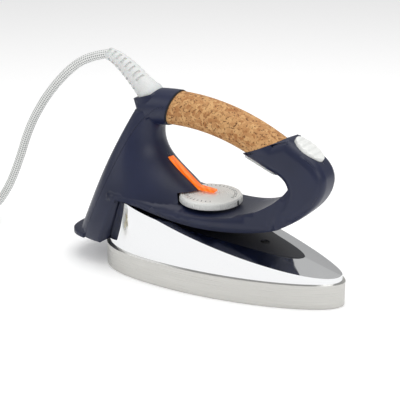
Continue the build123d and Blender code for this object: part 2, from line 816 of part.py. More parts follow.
# ---------------------------------------------------------------- mains terminals and wires
block_place = (-98.0, 0.0, 80.2)
with BuildPart() as terminal_block:
    with Locations(block_place):
        Box(14, 32, 12)
    for side in (-10, 0, 10):
        with Locations((block_place[0], side, block_place[2] + 6)):
            Hole(radius=2.2, depth=7)
with BuildPart() as terminal_screws:
    for side in (-10, 0, 10):
        add(rod((block_place[0], side, block_place[2] - 1), (block_place[0], side, block_place[2] + 4), 2.2))


def wire(points, bend=4.0, thickness=1.1):
    """An insulated wire along straight runs with round bends."""
    with BuildPart() as piece:
        with BuildLine() as path:
            FilletPolyline(*points, radius=bend)
        with BuildSketch(Plane(origin=path.line @ 0, z_dir=path.line % 0)):
            Circle(thickness)
        sweep(path=path.line)
    return piece.part


clamp_place = (-83.5, 0, 126.0)
with BuildPart() as cord_end:
    add(rod(collar_seat - collar_axis * 2.5, (-85.0, 0, 117.0), cord_diameter / 2))
with BuildPart() as cord_clamp:
    with Locations(clamp_place):
        Box(13, 26, 5)
    add(cord_end.part, mode=Mode.SUBTRACT)
    for side in (-9.5, 9.5):
        with Locations((clamp_place[0], side, clamp_place[2] + 2.5)):
            Hole(radius=1.5, depth=6)
with BuildPart() as clamp_screws:
    for side in (-9.5, 9.5):
        head = Vector(clamp_place[0], side, clamp_place[2] + 2.5)
        add(rod(head - Vector(0, 0, 6), head, 1.5))
        add(rod(head, head + Vector(0, 0, 1.6), 2.6))
mains_wires = wire([(-85, 2, 115.5), (-88, 8, 108), (-98, 10, 98), (-98, 10, 86.5)])
mains_wires += wire([(-85, -2, 115.5), (-88, -8, 108), (-98, -10, 98), (-98, -10, 86.5)])
save(cord_end.part, "cord_end")
save(terminal_block.part, "terminal_block")
save(terminal_screws.part, "terminal_screws")
save(cord_clamp.part, "cord_clamp")
save(clamp_screws.part, "clamp_screws")
save(mains_wires, "mains_wires")

# ---------------------------------------------------------------- lever switch and spring
lever_spring_place = 16.0   # along the lever from its pin
lever_switch_place = 25.0
lever_spring_length = 4.6
inner_face = lever_face - lever_thickness


def above_lever(along, lift, across=False):
    """A plane over the lever's inner face, its normal pointing into the body."""
    return Plane(
        origin=lever_plane.from_local_coords((along, 0, inner_face - lift)),
        x_dir=(0, 1, 0) if across else lever_plane.x_dir, z_dir=-lever_plane.z_dir,
    )


lever_spring = spring_solid(above_lever(lever_spring_place, 0.05), lever_spring_length, 2.6, 4)
with BuildPart() as lever_stop:
    with BuildSketch(above_lever(lever_spring_place, lever_spring_length + 2 * spring_wire + 0.1)):
        Rectangle(8, 2 * (arm_front_half - body_wall))
    extrude(amount=1.5)
switch_lift = lever_switch_place * sin(radians(lever_travel)) + 1.0
switch_seat = above_lever(lever_switch_place, switch_lift, across=True)
lever_switch = switch_solid(Plane(origin=switch_seat.origin, x_dir=(0, 1, 0), z_dir=-switch_seat.z_dir))
save(lever_spring, "lever_spring")
save(lever_stop.part, "lever_stop")
save(lever_switch, "lever_switch")

# ---------------------------------------------------------------- cord boot, cord, coil and plug
# the boot's foot sits in the collar, and its sleeve leans back and tapers to where the cord starts
boot_sections = [
    ((-88.0, 169.5), (-24.0, 21.5), boot_neck_radius),
    ((-103.0, 182.3), (-24.0, 19.0), 8.2),
    ((-116.0, 190.2), (-24.0, 11.0), 6.7),
    ((-124.5, 193.2), (-25.0, -5.2), boot_tip_radius),
]
with BuildPart() as cord_boot:
    with BuildSketch(Plane(origin=collar_seat, z_dir=collar_axis)):
        Circle(boot_base_radius)
    extrude(amount=collar_bore_depth - 1.0)
    with BuildSketch(Plane(origin=collar_rim - collar_axis, z_dir=collar_axis)):
        Circle(boot_base_radius)
    for (x, z), (along_x, along_z), radius in boot_sections:
        with BuildSketch(Plane(origin=(x, 0, z), z_dir=(along_x, 0, along_z))):
            Circle(radius)
    loft()

coil_inner = 32.0
coil_turns = 5.5            # half in the lower layer, half in the upper
coil_outer = coil_inner + cord_diameter * coil_turns / 2
coil_place = (-309.5, -coil_outer)
cord_low = cord_diameter / 2
cord_high = cord_diameter * 1.5
cord_route = [
    (-124.5, 0, 193.2), (-149.5, 0, 188.0), (-178.0, 0, 168.0), (-207.0, 0.5, 137.0),
    (-228.0, 1.5, 105.0), (-242.0, 2.0, 72.0), (-258.5, 1.5, 39.0), (-280.5, 1.0, 11.5),
    (-313.5, 0, cord_low),
]


def bend_radii(route):
    """The largest arc that the two runs at each corner allow."""
    radii = []
    for before, here, after in zip(route, route[1:], route[2:]):
        arriving = Vector(*here) - Vector(*before)
        leaving = Vector(*after) - Vector(*here)
        half_turn = radians(arriving.get_angle(leaving)) / 2
        radii.append(0.45 * min(arriving.length, leaving.length) / tan(half_turn))
    return radii


radii = bend_radii(cord_route)
with BuildPart() as cord:
    with BuildLine() as lead:
        FilletPolyline(*cord_route, radius=radii)
    with BuildSketch(Plane(origin=lead.line @ 0, z_dir=lead.line % 0)):
        Circle(cord_diameter / 2)
    sweep(path=lead.line)
section = pi * (cord_diameter / 2) ** 2
lead_length = sum(edge.length for edge in lead.edges())

with BuildPart() as cord_coil:
    with BuildSketch():
        with Locations(coil_place):
            Circle(coil_outer + cord_low)
            Circle(coil_inner - cord_low, mode=Mode.SUBTRACT)
    extrude(amount=cord_diameter * coil_layers)

plug_y = coil_place[1] - coil_outer
plug_rear = coil_place[0] + 36.0
plug_length = 30.0
plug_height = 2 * cord_high - 0.7
plug_width = 25.0
with BuildPart() as cord_tail:
    add(rod((coil_place[0], plug_y, cord_high), (plug_rear, plug_y, plug_height / 2), cord_low))

with BuildPart() as plug_body:
    with BuildSketch(Plane(origin=(plug_rear, plug_y, plug_height / 2), z_dir=(1, 0, 0))):
        Circle(cord_low + 1.4)
    with BuildSketch(Plane(origin=(plug_rear + 16, plug_y, plug_height / 2), z_dir=(1, 0, 0))):
        Circle(cord_low + 3.4)
    loft()
    with BuildSketch(Plane(origin=(plug_rear + 14, plug_y, plug_height / 2), z_dir=(1, 0, 0), x_dir=(0, 1, 0))):
        RectangleRounded(plug_width, plug_height, 8)
    extrude(amount=plug_length)
plug_face = plug_rear + 14 + plug_length
pin_length = 17.5
with BuildPart() as plug_pins:
    for side in (-6.35, 6.35):
        with BuildSketch(Plane(
            origin=(plug_face, plug_y + side, plug_height / 2 - 3), z_dir=(1, 0, 0), x_dir=(0, 1, 0)
        )):
            Rectangle(1.5, 6.3)
        extrude(amount=pin_length)
    with BuildSketch(Plane(origin=(plug_face, plug_y, plug_height / 2 + 5), z_dir=(1, 0, 0), x_dir=(0, 1, 0))):
        Circle(2.4)
    extrude(amount=pin_length + 3)
turns_length = 2 * pi * coil_turns * (coil_inner + coil_outer) / 2
print("cord length", round(lead_length + turns_length + plug_rear - coil_place[0]))

for name, piece in (
    ("cord_boot", cord_boot), ("cord", cord), ("cord_coil", cord_coil), ("cord_tail", cord_tail),
    ("plug_body", plug_body), ("plug_pins", plug_pins),
):
    save(piece.part, name)
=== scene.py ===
"""Looks for the cork-handled dry iron: every visible skin, its finish, the cord, and the studio round it."""

import json
from math import cos, pi, radians, sin

import bpy
import numpy as np
from mathutils import Matrix, Vector


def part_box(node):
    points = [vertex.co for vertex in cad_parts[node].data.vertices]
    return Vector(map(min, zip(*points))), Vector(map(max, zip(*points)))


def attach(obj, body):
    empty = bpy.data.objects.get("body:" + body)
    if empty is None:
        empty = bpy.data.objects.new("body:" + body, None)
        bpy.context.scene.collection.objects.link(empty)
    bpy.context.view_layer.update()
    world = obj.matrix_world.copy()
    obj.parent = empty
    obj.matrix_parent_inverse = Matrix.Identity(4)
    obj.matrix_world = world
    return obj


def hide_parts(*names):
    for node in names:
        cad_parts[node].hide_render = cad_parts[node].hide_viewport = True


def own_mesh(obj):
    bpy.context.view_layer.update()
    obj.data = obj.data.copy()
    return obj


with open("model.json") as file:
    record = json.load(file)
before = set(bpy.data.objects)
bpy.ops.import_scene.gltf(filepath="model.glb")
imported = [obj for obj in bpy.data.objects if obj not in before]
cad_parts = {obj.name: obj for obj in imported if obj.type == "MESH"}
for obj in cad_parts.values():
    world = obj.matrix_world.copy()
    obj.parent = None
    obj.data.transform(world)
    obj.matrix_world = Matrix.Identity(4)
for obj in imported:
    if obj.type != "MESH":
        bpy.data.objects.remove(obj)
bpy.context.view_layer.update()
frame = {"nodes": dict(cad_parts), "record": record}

# ---------------------------------------------------------------- soleplate
# A die-cast aluminium tray.  Its rim is machined and then satin brushed along its length, so it shows
# fine level lines and soft, drawn-out reflections, and its two edges are broken by the buffing wheel.


def colour(code):
    """The linear colour of an sRGB hex code."""
    parts = [int(code[place:place + 2], 16) / 255 for place in (1, 3, 5)]
    return [p / 12.92 if p <= 0.04045 else ((p + 0.055) / 1.055) ** 2.4 for p in parts] + [1.0]


def add(tree, kind, inputs={}, **settings):
    """One node with its settings; an input is given a plain value, or another node's output to link."""
    made = tree.nodes.new(kind)
    for name, value in settings.items():
        setattr(made, name, value)
    for name, value in inputs.items():
        if isinstance(value, bpy.types.NodeSocket):
            tree.links.new(value, made.inputs[name])
        else:
            made.inputs[name].default_value = value
    return made


def finish(name, **shader):
    """A new material with its shader's plain numbers set, and its tree, shader and place on the object."""
    made = bpy.data.materials.new(name)
    made.use_nodes = True
    tree = made.node_tree
    face = tree.nodes["Principled BSDF"]
    for socket, value in shader.items():
        face.inputs[socket.replace("_", " ")].default_value = value
    place = add(tree, "ShaderNodeTexCoord").outputs["Object"]
    return made, tree, face, place


def grain(tree, face, place, size, depth, detail=2.0):
    """Fine bumps of a size and a depth in millimetres, as a moulding tool or a blast leaves."""
    spots = add(tree, "ShaderNodeTexNoise", {"Vector": place, "Scale": 1000 / size, "Detail": detail})
    bump = add(
        tree, "ShaderNodeBump", {"Height": spots.outputs["Fac"], "Distance": depth / 1000, "Strength": 0.6}
    )
    tree.links.new(bump.outputs["Normal"], face.inputs["Normal"])
    return spots.outputs["Fac"]


def spread(tree, value, low, high, socket):
    """A pattern's 0 to 1 turned into a shader number between low and high."""
    scaled = add(
        tree, "ShaderNodeMapRange",
        {"Value": value, "From Min": 0.3, "From Max": 0.7, "To Min": low, "To Max": high},
    )
    tree.links.new(scaled.outputs["Result"], socket)


def tinted(tree, value, first, second, socket):
    """A pattern's 0 to 1 turned into a colour between two hex codes."""
    ramp = add(tree, "ShaderNodeValToRGB", {"Fac": value})
    low, high = ramp.color_ramp.elements
    low.position, low.color = 0.3, colour(first)
    high.position, high.color = 0.7, colour(second)
    tree.links.new(ramp.outputs["Color"], socket)


def clean_copy(node, material, body="iron", smooth=30.0, soften=None):
    """A joined-up copy of a CAD node's surface; soften = (grid in mm, passes) rounds its corners."""
    mesh = frame["nodes"][node].data.copy()
    piece = bpy.data.objects.new(node + "_skin", mesh)
    bpy.context.scene.collection.objects.link(piece)
    join = piece.modifiers.new("join", "WELD")
    join.merge_threshold = 2e-6
    if soften:
        grid = piece.modifiers.new("grid", "REMESH")
        grid.mode, grid.voxel_size, grid.use_smooth_shade = "VOXEL", soften[0] / 1000, True
        round_off = piece.modifiers.new("round off", "SMOOTH")
        round_off.factor, round_off.iterations = 0.5, soften[1]
    mesh = settled(piece)
    mesh.materials.clear()
    mesh.materials.append(material)
    mesh.shade_smooth()
    if not soften:
        mesh.set_sharp_from_angle(angle=radians(smooth))
    return taken(piece, body, node)


def settled(piece):
    """The piece's modifiers made real, as its own plain mesh."""
    shape = bpy.data.meshes.new_from_object(piece.evaluated_get(bpy.context.evaluated_depsgraph_get()))
    piece.modifiers.clear()
    piece.data = shape
    return shape


def taken(piece, body, *nodes):
    """The piece rides on its body and stands for its CAD nodes, which are hidden."""
    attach(piece, body)
    if nodes:
        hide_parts(*nodes)
    return piece


# brushed cast aluminium: level brush lines 0.25 mm apart, drawn out along the rim
aluminium, tree, face, place = finish("brushed_cast_aluminium", Metallic=1.0)
lines = add(tree, "ShaderNodeMapping", {"Vector": place, "Scale": (25.0, 25.0, 4000.0)})
brushed = add(tree, "ShaderNodeTexNoise", {"Vector": lines.outputs["Vector"], "Scale": 1.0, "Detail": 3.0})
spread(tree, brushed.outputs["Fac"], 0.24, 0.4, face.inputs["Roughness"])
tinted(tree, brushed.outputs["Fac"], "#BDBCB8", "#D0CFCB", face.inputs["Base Color"])
bump = add(tree, "ShaderNodeBump", {"Height": brushed.outputs["Fac"], "Distance": 2e-5, "Strength": 0.5})
tree.links.new(bump.outputs["Normal"], face.inputs["Normal"])
clean_copy("soleplate", aluminium)

# ---------------------------------------------------------------- chrome cover
# A pressed steel hood, polished and chromium plated, with two sloping shoulders towards the nose.
# The plating is a near perfect mirror, and only faint wiping marks soften it.
chrome, tree, face, place = finish("polished_chromium_plate", Metallic=1.0, Base_Color=colour("#E4E5E6"))
wiped = add(tree, "ShaderNodeTexNoise", {"Vector": place, "Scale": 60.0, "Detail": 4.0})
spread(tree, wiped.outputs["Fac"], 0.03, 0.09, face.inputs["Roughness"])
pressed = add(tree, "ShaderNodeTexNoise", {"Vector": place, "Scale": 22.0, "Detail": 1.0})
bump = add(tree, "ShaderNodeBump", {"Height": pressed.outputs["Fac"], "Distance": 0.0004, "Strength": 0.35})
tree.links.new(bump.outputs["Normal"], face.inputs["Normal"])
clean_copy("chrome_cover", chrome, smooth=24.0)

# ---------------------------------------------------------------- deck plate and spacer
# A black thermoset moulding that keeps the hot cover away from the body.  Its tool was spark eroded,
# which leaves an even matt grain.
phenolic, tree, face, place = finish("black_phenolic_moulding")
spots = grain(tree, face, place, 0.8, 0.03)
tinted(tree, spots, "#161720", "#1E1F29", face.inputs["Base Color"])
spread(tree, spots, 0.36, 0.5, face.inputs["Roughness"])
for node in ("deck_plate", "insulating_spacer"):
    clean_copy(node, phenolic, smooth=8.0)

# ---------------------------------------------------------------- navy body
# Two moulded halves joined down the middle, and a rear cover with the cord's collar, in solid-dyed
# polypropylene.  A fine satin texture spreads the light, and the corners are generously rounded.
navy, tree, face, place = finish("navy_polypropylene", Specular_IOR_Level=0.42)
spots = grain(tree, face, place, 0.7, 0.02)
cloudy = add(tree, "ShaderNodeTexNoise", {"Vector": place, "Scale": 25.0, "Detail": 2.0})
tinted(tree, cloudy.outputs["Fac"], "#141B34", "#19203D", face.inputs["Base Color"])
spread(tree, spots, 0.32, 0.43, face.inputs["Roughness"])
for node in ("body_left", "body_right", "rear_cover"):
    clean_copy(node, navy, smooth=32.0)

# ---------------------------------------------------------------- cork grip
# A sleeve turned from agglomerated cork: granules 2 to 5 mm across pressed together with a binder,
# then sanded.  Dark bark specks and small open pores show between the granules.
cork, tree, face, place = finish("sanded_agglomerated_cork", Roughness=0.75)
bent = add(tree, "ShaderNodeTexNoise", {"Vector": place, "Scale": 350.0, "Detail": 3.0})
stirred = add(tree, "ShaderNodeMix", {0: 0.004, 4: place, 5: bent.outputs["Color"]}, data_type="VECTOR")
granules = add(tree, "ShaderNodeTexVoronoi", {"Vector": stirred.outputs[1], "Scale": 300.0})
shade = add(tree, "ShaderNodeValToRGB", {"Fac": granules.outputs["Color"]})
dark, pale = shade.color_ramp.elements
dark.position, dark.color = 0.1, colour("#A9713F")
pale.position, pale.color = 0.9, colour("#D6A870")
specks = add(
    tree, "ShaderNodeTexNoise", {"Vector": place, "Scale": 520.0, "Detail": 2.0, "Roughness": 0.6}
)
bark = add(tree, "ShaderNodeMapRange", {"Value": specks.outputs["Fac"], "From Min": 0.56, "From Max": 0.66})
mixed = add(
    tree, "ShaderNodeMix", {0: bark.outputs["Result"], 6: shade.outputs["Color"], 7: colour("#67401F")},
    data_type="RGBA",
)
tree.links.new(mixed.outputs[2], face.inputs["Base Color"])
rough = add(
    tree, "ShaderNodeMath", {0: granules.outputs["Distance"], 1: specks.outputs["Fac"]}, operation="ADD"
)
bump = add(
    tree, "ShaderNodeBump", {"Height": rough.outputs[0], "Distance": 0.0005, "Strength": 0.5}, invert=True
)
tree.links.new(bump.outputs["Normal"], face.inputs["Normal"])
clean_copy("cork_grip", cork, smooth=40.0)

# the black gasket between the cork and the body
rubber, tree, face, place = finish("black_nitrile_rubber", Roughness=0.6, Base_Color=colour("#15161A"))
grain(tree, face, place, 0.6, 0.02)
clean_copy("grip_ring", rubber)

# ---------------------------------------------------------------- temperature dial
# A compression moulded urea disc.  Its face is turned with fine concentric rings, printed with generic
# tick marks, and its rim is ribbed for the fingers.
ivory, tree, face, place = finish("off_white_urea_moulding")
spots = grain(tree, face, place, 1.0, 0.015)
tinted(tree, spots, "#E5E6E3", "#EDEEEB", face.inputs["Base Color"])
spread(tree, spots, 0.32, 0.45, face.inputs["Roughness"])
dial_low, dial_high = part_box("dial_knob")
dial_centre = (dial_low + dial_high) / 2
dial_radius = (dial_high.x - dial_low.x) / 2
face_height = dial_high.z


def turned(name, profile, centre, material, steps=144):
    """A solid of revolution about Z from (radius, height) points, closed at both ends on its axis."""
    points, faces = [], []
    for radius, height in profile:
        for step in range(steps):
            angle = 2 * pi * step / steps
            points.append((centre.x + radius * cos(angle), centre.y + radius * sin(angle), height))
    for low in range(0, (len(profile) - 1) * steps, steps):
        high = low + steps
        for step in range(steps):
            after = (step + 1) % steps
            faces.append((low + step, low + after, high + after, high + step))
    faces.append(tuple(reversed(range(steps))))
    faces.append(tuple((len(profile) - 1) * steps + step for step in range(steps)))
    mesh = bpy.data.meshes.new(name)
    mesh.from_pydata(points, [], faces)
    mesh.materials.append(material)
    mesh.shade_smooth()
    mesh.set_sharp_from_angle(angle=radians(35))
    piece = bpy.data.objects.new(name, mesh)
    bpy.context.scene.collection.objects.link(piece)
    return piece


# the profile runs from under the rim, round its edge and over nine turned grooves to the hub
rim = dial_radius - 0.0009
edge_round = 0.0014
groove_pitch = 0.0020
profile = [
    (0.0265, dial_low.z), (rim - 0.0006, dial_low.z),
    (rim, dial_low.z + 0.0006), (rim, face_height - edge_round),
]
for turn in (0.4, 0.8, 1.2, pi / 2):
    profile.append((rim - edge_round * (1 - cos(turn)), face_height - edge_round * (1 - sin(turn))))
for ring in range(9):
    outer = 0.0262 - ring * groove_pitch
    for inward, drop in ((0, 0), (0.0003, 0.0006), (0.0008, 0.0006), (0.0011, 0)):
        profile.append((outer - inward, face_height - drop))
profile += [(0.0075, face_height), (0.0070, face_height - 0.0008), (0.0062, face_height - 0.0008)]
profile += [(0.0055, face_height - 0.0001), (0.0050, face_height), (0.0005, face_height)]
disc = turned("dial_disc", profile, dial_centre, ivory)
taken(disc, "dial", "dial_knob")

# printed ticks and rim ribs repeat round the dial
ink, tree, face, place = finish("grey_pad_print_ink", Roughness=0.55, Base_Color=colour("#5C6064"))
grain(tree, face, place, 0.5, 0.01)


def ring_of_bars(name, material, count, radius, size, height, sweep=2 * pi):
    """Small upright bars set evenly on a circle about the dial's axis, each pointing outwards."""
    tree = bpy.data.node_groups.new(name, "GeometryNodeTree")
    tree.interface.new_socket("Geometry", in_out="OUTPUT", socket_type="NodeSocketGeometry")
    for label, kind in (("Count", "Int"), ("Radius", "Float"), ("Size", "Vector"), ("Sweep", "Float")):
        tree.interface.new_socket(label, in_out="INPUT", socket_type="NodeSocket" + kind)
    given = add(tree, "NodeGroupInput").outputs
    arc = add(tree, "GeometryNodeCurveArc", {
        "Resolution": given["Count"], "Radius": given["Radius"], "Start Angle": 0.0,
        "Sweep Angle": given["Sweep"],
    })
    spaced = add(tree, "GeometryNodeCurveToPoints", {"Curve": arc.outputs["Curve"]}, mode="EVALUATED")
    index = add(tree, "GeometryNodeInputIndex")
    last = add(tree, "ShaderNodeMath", {0: given["Count"], 1: 1.0}, operation="SUBTRACT")
    share = add(tree, "ShaderNodeMath", {0: index.outputs[0], 1: last.outputs[0]}, operation="DIVIDE")
    turn = add(tree, "ShaderNodeMath", {0: share.outputs[0], 1: given["Sweep"]}, operation="MULTIPLY")
    angle = add(tree, "ShaderNodeCombineXYZ", {"Z": turn.outputs[0]})
    bar = add(tree, "GeometryNodeMeshCube", {"Size": given["Size"]})
    copies = add(tree, "GeometryNodeInstanceOnPoints", {
        "Points": spaced.outputs["Points"], "Instance": bar.outputs["Mesh"],
        "Rotation": angle.outputs["Vector"],
    })
    real = add(tree, "GeometryNodeRealizeInstances", {"Geometry": copies.outputs["Instances"]})
    coated = add(
        tree, "GeometryNodeSetMaterial", {"Geometry": real.outputs["Geometry"], "Material": material}
    )
    add(tree, "NodeGroupOutput", {"Geometry": coated.outputs["Geometry"]})
    piece = bpy.data.objects.new(name, bpy.data.meshes.new(name))
    bpy.context.scene.collection.objects.link(piece)
    modifier = piece.modifiers.new(name, "NODES")
    modifier.node_group = tree
    wanted = {"Count": count, "Radius": radius, "Size": size, "Sweep": sweep}
    for socket in tree.interface.items_tree:
        if socket.in_out == "INPUT":
            modifier[socket.identifier] = wanted[socket.name]
    mesh = settled(piece)
    mesh.transform(Matrix.Translation((dial_centre.x, dial_centre.y, height)))
    return piece


# ticks over 300 degrees, the rest left clear at the off position, and ribs all round the rim
ticks = ring_of_bars(
    "dial_ticks", ink, 31, 0.0225, (0.0026, 0.0005, 0.0003), face_height - 0.0001, radians(300)
)
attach(ticks, "dial")
ribs = ring_of_bars("dial_rim_ribs", ivory, 73, rim, (0.0016, 0.0011, 0.0040), face_height - 0.0040)
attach(ribs, "dial")

# ---------------------------------------------------------------- pointer lens
# An injection moulded amber acrylic light pipe over the pilot lamp, glossy, with darker folds inside. A
# faint orange glow is painted on it by emission, though no lamp in the scene lights it.
amber, tree, face, place = finish(
    "amber_acrylic_painted_glow", Roughness=0.12, IOR=1.49, Transmission_Weight=0.3, Coat_Weight=0.5,
    Emission_Color=colour("#FF7E10"), Emission_Strength=0.3,
)
folds = add(
    tree, "ShaderNodeTexWave", {"Vector": place, "Scale": 90.0, "Distortion": 2.0},
    bands_direction="DIAGONAL",
)
tinted(tree, folds.outputs["Fac"], "#F47A0C", "#FFA23A", face.inputs["Base Color"])
clean_copy("pointer_lens", amber, smooth=40.0)

# ---------------------------------------------------------------- thumb button and grip lever
# The button is the dial's off-white urea with four scalloped ridges.  The lever is a pale grey acetal
# bar under the front of the handle, slightly waxy.
clean_copy("thumb_button", ivory, body="button", soften=(0.35, 2))
acetal, tree, face, place = finish("grey_acetal", Roughness=0.36, Subsurface_Weight=0.05)
spots = grain(tree, face, place, 0.9, 0.015)
tinted(tree, spots, "#C0C2C0", "#CCCECC", face.inputs["Base Color"])
clean_copy("grip_lever", acetal, body="lever", soften=(0.45, 4))

# ---------------------------------------------------------------- inner works
# Steel pins, springs and screws, ceramic thermostat and fuse, grey nylon carriers and brown sleeved
# wires.  They sit inside the body and keep their CAD shapes.
steel, tree, face, place = finish("zinc_plated_steel", Metallic=1.0, Base_Color=colour("#B9BABC"))
spread(tree, grain(tree, face, place, 0.5, 0.01), 0.24, 0.38, face.inputs["Roughness"])
brass, tree, face, place = finish("nickel_plated_brass", Metallic=1.0, Base_Color=colour("#D8D0B4"))
spread(tree, grain(tree, face, place, 0.5, 0.008), 0.16, 0.3, face.inputs["Roughness"])
steatite, tree, face, place = finish("fired_steatite", Roughness=0.3)
tinted(tree, grain(tree, face, place, 1.2, 0.02), "#DCD6C8", "#E9E4D8", face.inputs["Base Color"])
nylon, tree, face, place = finish("grey_glass_filled_nylon", Roughness=0.5)
tinted(tree, grain(tree, face, place, 0.8, 0.02), "#454749", "#525457", face.inputs["Base Color"])
sleeve, tree, face, place = finish("brown_silicone_sleeving", Roughness=0.45)
tinted(tree, grain(tree, face, place, 0.8, 0.02), "#5E3D29", "#74503A", face.inputs["Base Color"])
lamp, tree, face, place = finish(
    "lamp_glass", Transmission_Weight=1.0, IOR=1.5, Base_Color=colour("#FFE2CC")
)
spread(tree, grain(tree, face, place, 3.0, 0.01), 0.02, 0.06, face.inputs["Roughness"])
# the sole's screws are blackened, so that none of them shines through the deck
blackened, tree, face, place = finish("blackened_steel", Metallic=1.0, Base_Color=colour("#1C1C1F"))
spread(tree, grain(tree, face, place, 0.5, 0.01), 0.42, 0.58, face.inputs["Roughness"])
by_slot = {
    "steel": steel, "pin_brass": brass, "ceramic": steatite, "inner_plastic": nylon, "wire_sleeve": sleeve,
    "lamp_glass": lamp,
}
by_node = {"sole_screws": blackened, "cord_end": sleeve}
for part in frame["record"]["subparts"]:
    inner = frame["nodes"][part["node"]]
    material = by_node.get(part["node"], by_slot.get(part["material_slot"]))
    if material and not inner.hide_render:
        inner.data.materials.clear()
        inner.data.materials.append(material)

# the two return springs, each with a mesh of its own
spring = clean_copy("button_spring", steel)
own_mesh(spring)
spring = clean_copy("lever_spring", steel)
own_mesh(spring)

# ---------------------------------------------------------------- cord boot
# A soft pale grey PVC strain relief moulded on to the cord.  Its sleeve tapers, and two rows of
# staggered slots on each side let it bend.
soft_pvc, tree, face, place = finish("pale_grey_soft_pvc", Roughness=0.5, Subsurface_Weight=0.05)
spots = grain(tree, face, place, 1.0, 0.02)
tinted(tree, spots, "#D2D4D3", "#DFE1E0", face.inputs["Base Color"])
# x, z and radius, from the foot inside the collar to where the cord comes out
boot_line = [
    (-0.0750, 0.1495, 0.0126), (-0.0785, 0.1600, 0.0126), (-0.0800, 0.1622, 0.0122),
    (-0.0826, 0.1650, 0.0108), (-0.0880, 0.1695, 0.0098), (-0.0955, 0.1762, 0.0090),
    (-0.1030, 0.1823, 0.0082), (-0.1095, 0.1868, 0.0074), (-0.1160, 0.1902, 0.0067),
    (-0.1205, 0.1921, 0.0062), (-0.1245, 0.1932, 0.0059),
]


def along(line, steps):
    """Evenly spaced points on a smooth curve through a line of points, whatever else each point carries."""
    line = np.array(line, float)
    reach = np.concatenate(([0], np.cumsum(np.linalg.norm(np.diff(line[:, :2], axis=0), axis=1))))
    smooth = []
    for place in np.linspace(0, reach[-1], steps):
        part = min(np.searchsorted(reach, place, "right"), len(line) - 1) - 1
        share = (place - reach[part]) / (reach[part + 1] - reach[part])
        first, last = line[part], line[part + 1]
        before, after = line[max(part - 1, 0)], line[min(part + 2, len(line) - 1)]
        rise, fall = (last - before) / 2, (after - first) / 2
        smooth.append(
            (2 * share**3 - 3 * share**2 + 1) * first + (share**3 - 2 * share**2 + share) * rise
            + (3 * share**2 - 2 * share**3) * last + (share**3 - share**2) * fall
        )
    return np.array(smooth)


def tube(name, path, radius_at, around, material, length_map=False):
    """A closed tube round a path of points; radius_at(step, angle) gives each point's distance from it."""
    path = np.array(path, float)
    ahead = np.gradient(path, axis=0)
    ahead /= np.linalg.norm(ahead, axis=1)[:, None]
    side = np.cross(ahead[0], (0.0, 1.0, 0.0))
    if np.linalg.norm(side) < 0.1:
        side = np.cross(ahead[0], (0.0, 0.0, 1.0))
    points, sides = [], []
    reach = np.concatenate(([0], np.cumsum(np.linalg.norm(np.diff(path, axis=0), axis=1))))
    for step, (centre, forward) in enumerate(zip(path, ahead)):
        side = side - forward * side.dot(forward)
        side /= np.linalg.norm(side)
        across = np.cross(forward, side)
        for spoke in range(around):
            angle = 2 * pi * spoke / around
            radius = radius_at(step, angle)
            points.append(tuple(centre + radius * (cos(angle) * side + sin(angle) * across)))
    faces = []
    for low in range(0, (len(path) - 1) * around, around):
        high = low + around
        for spoke in range(around):
            after = (spoke + 1) % around
            faces.append((low + spoke, low + after, high + after, high + spoke))
    faces.append(tuple(reversed(range(around))))
    faces.append(tuple((len(path) - 1) * around + spoke for spoke in range(around)))
    mesh = bpy.data.meshes.new(name)
    mesh.from_pydata(points, [], faces)
    if length_map:
        wound = mesh.uv_layers.new(name="along")
        for face_number, corners in enumerate(faces[:-2]):
            step, spoke = divmod(face_number, around)
            ends = ((step, spoke), (step, spoke + 1), (step + 1, spoke + 1), (step + 1, spoke))
            for corner, (ring, turn) in enumerate(ends):
                wound.data[face_number * 4 + corner].uv = (reach[ring] * 1000, turn / around)
    mesh.materials.append(material)
    mesh.shade_smooth()
    mesh.set_sharp_from_angle(angle=radians(50))
    piece = bpy.data.objects.new(name, mesh)
    bpy.context.scene.collection.objects.link(piece)
    return piece


# slots are cut in four rows of eight, the start and pitch given in steps along the sleeve
boot_path = along(boot_line, 170)
slot_start, slot_pitch, last_slot = 62, 13.5, 7
slot_half_angle, slot_half_width, slot_depth = 0.52, 0.19, 0.0015


def boot_radius(step, angle):
    """The sleeve's radius, less the depth of a slot where one is cut."""
    radius = boot_path[step][2]
    for row in range(4):
        away = abs((angle - (row + 0.5) * pi / 2 + pi) % (2 * pi) - pi)
        number = (step - slot_start - (row % 2) * slot_pitch / 2) / slot_pitch
        inside = -0.3 < number < last_slot + 0.3 and abs(number - round(number)) < slot_half_width
        if away < slot_half_angle and inside:
            return radius - slot_depth
    return radius


boot = tube("boot_sleeve", [(x, 0, z) for x, z, _ in boot_path], boot_radius, 96, soft_pvc)
taken(boot, "iron", "cord_boot")

# The body's wall is open in a thin slot along its rounded edge beside the cork. These ribs only close it
# from view: they have no counterpart in the CAD.
rib_foot, rib_step, rib_off, rib_radius = (0.0546, 0.1347), (0.0027, 0.00121), 0.0106, 0.0020
for side, hand in ((-1, "right"), (1, "left")):
    rib_line = []
    for step in range(6):
        rib_line.append((rib_foot[0] + rib_step[0] * step, side * rib_off, rib_foot[1] + rib_step[1] * step))
    rib = tube("column_rib_" + hand, rib_line, lambda step, angle: rib_radius, 24, navy)
    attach(rib, "iron")

